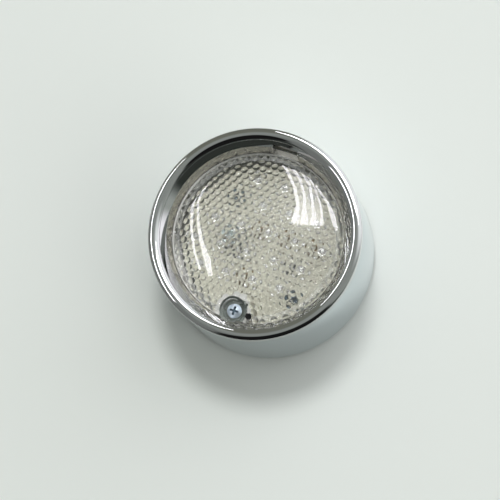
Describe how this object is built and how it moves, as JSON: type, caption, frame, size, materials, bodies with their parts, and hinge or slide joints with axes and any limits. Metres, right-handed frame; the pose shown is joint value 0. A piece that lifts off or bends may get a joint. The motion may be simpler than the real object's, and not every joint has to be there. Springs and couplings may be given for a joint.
{
  "type": "motor scooter tail light",
  "caption": "Round surface-mounted scooter tail light: chrome cup and lip, clear beaded lens held by a screw and a tab, clear LEDs on a board inside.",
  "frame": {"origin": "centre of the mounting pad's underside, on the lamp's axis", "axes": "+Z along the lamp's axis, the way the light shines; +Y up in use, towards the lens's tab; the lens screw is towards -Y"},
  "size_m": [0.1, 0.1, 0.059],
  "materials": {
    "housing_chrome": "polished",
    "bezel_chrome": "polished",
    "clear_lens": "clear moulded acrylic with round beads inside",
    "black_rubber": "matt",
    "pale_silicone": "pale translucent silicone",
    "zinc_steel": "blue zinc plated",
    "brass": "plain",
    "white_board": "white lacquered fibreglass",
    "clear_led": "water clear resin",
    "tinned_wire": "tinned",
    "resistor_lacquer": "brown lacquer with colour rings",
    "diode_resin": "black resin with a grey ring",
    "capacitor_sleeve": "dark blue sleeve, bare metal top",
    "nylon": "natural"
  },
  "bodies": {
    "root": {"housing": "housing_chrome", "bezel_ring": "bezel_chrome", "lens": "clear_lens", "lens_gasket": "pale_silicone", "lens_screw": "zinc_steel", "lens_screw_insert": "brass", "vent_plug": "black_rubber", "circuit_board": "white_board", "leds": "clear_led", "led_wires": "tinned_wire", "resistors": "resistor_lacquer", "resistor_wires": "tinned_wire", "diodes": "diode_resin", "diode_wires": "tinned_wire", "capacitor": "capacitor_sleeve", "capacitor_wires": "tinned_wire", "wiring_socket": "nylon", "socket_contacts": "tinned_wire", "board_screws": "zinc_steel", "board_posts": "brass", "cable_grommet": "black_rubber", "mounting_nuts": "zinc_steel", "mounting_pad": "black_rubber"}
  },
  "joints": []
}
